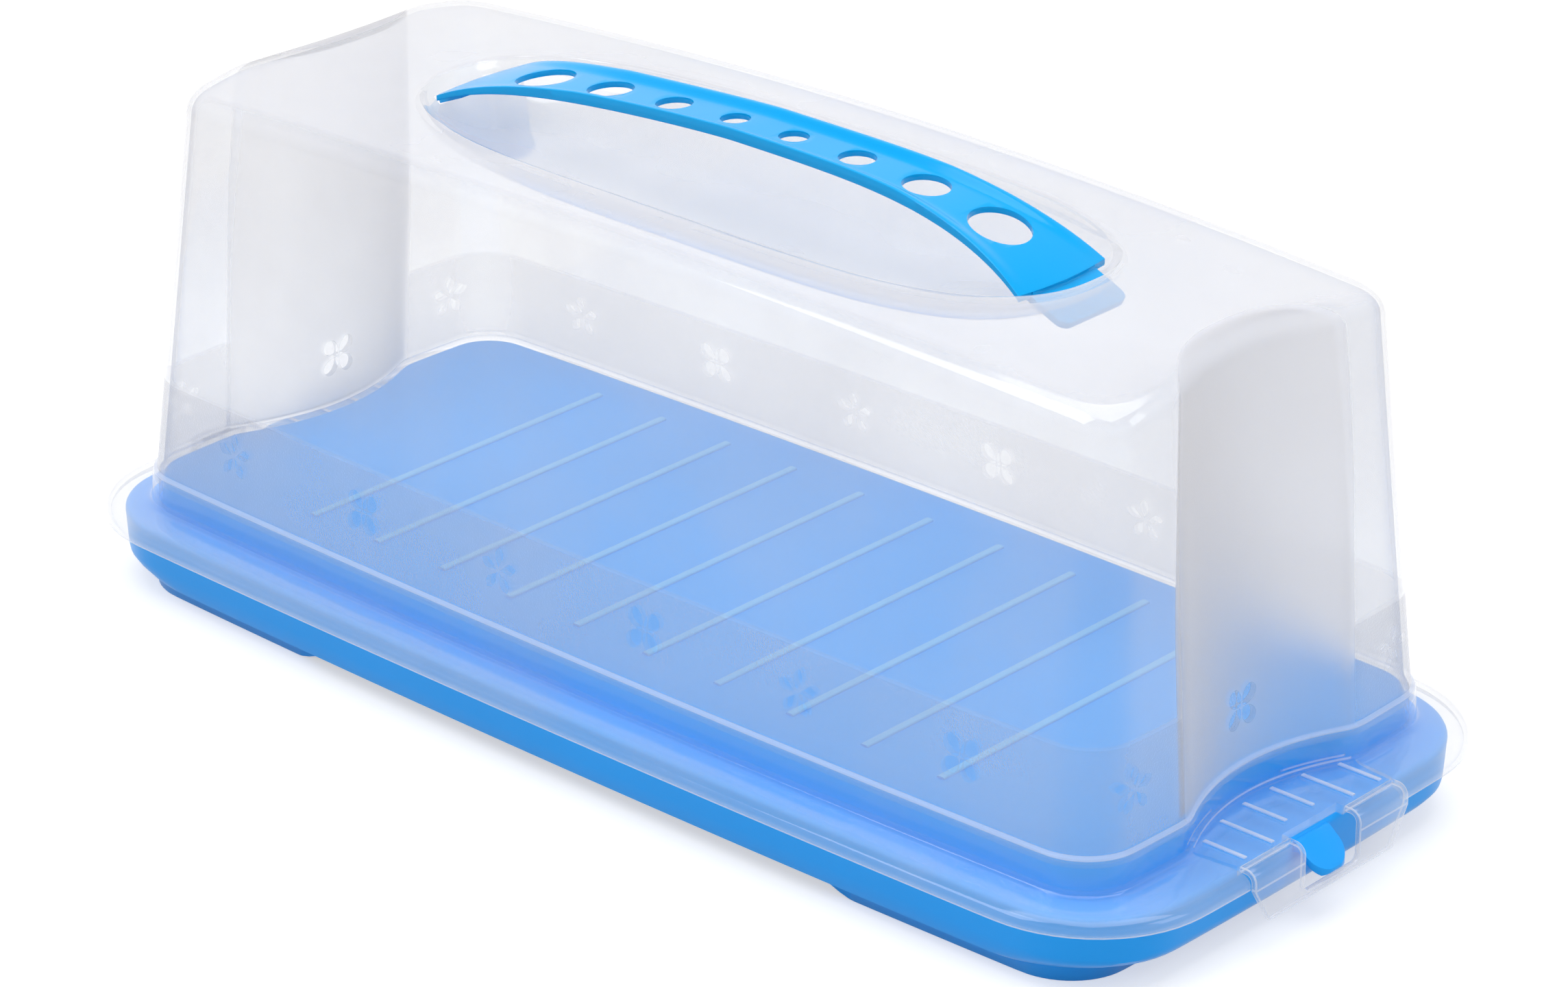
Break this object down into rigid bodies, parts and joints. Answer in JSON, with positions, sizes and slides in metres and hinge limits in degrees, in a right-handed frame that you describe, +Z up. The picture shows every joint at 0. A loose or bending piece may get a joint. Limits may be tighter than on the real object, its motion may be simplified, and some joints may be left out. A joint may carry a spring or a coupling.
{
  "type": "cake carrier",
  "caption": "Long rectangular cake carrier: translucent cover with a snap latch at each end, blue tray with a raised ribbed floor, and a bowed carry handle with round holes.",
  "frame": {"origin": "middle of the carrier's outline, on the table", "axes": "+X along the length towards the latch seen in the picture, +Y across the width, +Z up; the long side seen in the picture faces -Y"},
  "size_m": [0.3852, 0.1732, 0.1602],
  "materials": {
    "cover_plastic": "translucent polypropylene, clear with a frosted lower band and frosted end panels",
    "handle_plastic": "smooth gloss",
    "tray_plastic": "smooth gloss"
  },
  "bodies": {
    "tray": {"base_tray": "tray_plastic"},
    "cover": {"cover_shell": "cover_plastic", "handle": "handle_plastic"},
    "right_latch": {"latch_right": "cover_plastic"},
    "left_latch": {"latch_left": "cover_plastic"}
  },
  "joints": [
    {"name": "cover_tilt", "type": "hinge", "parent": "tray", "child": "cover", "pos_m": [-0.1904, 0, 0.0123], "axis": [0, -1, 0], "range_deg": [0, 62]},
    {"name": "right_latch_pull", "type": "hinge", "parent": "cover", "child": "right_latch", "pos_m": [0.1855, 0, 0.0245], "axis": [0, -1, 0], "range_deg": [0, 25]},
    {"name": "left_latch_pull", "type": "hinge", "parent": "cover", "child": "left_latch", "pos_m": [-0.1855, 0, 0.0245], "axis": [0, 1, 0], "range_deg": [0, 25]}
  ]
}
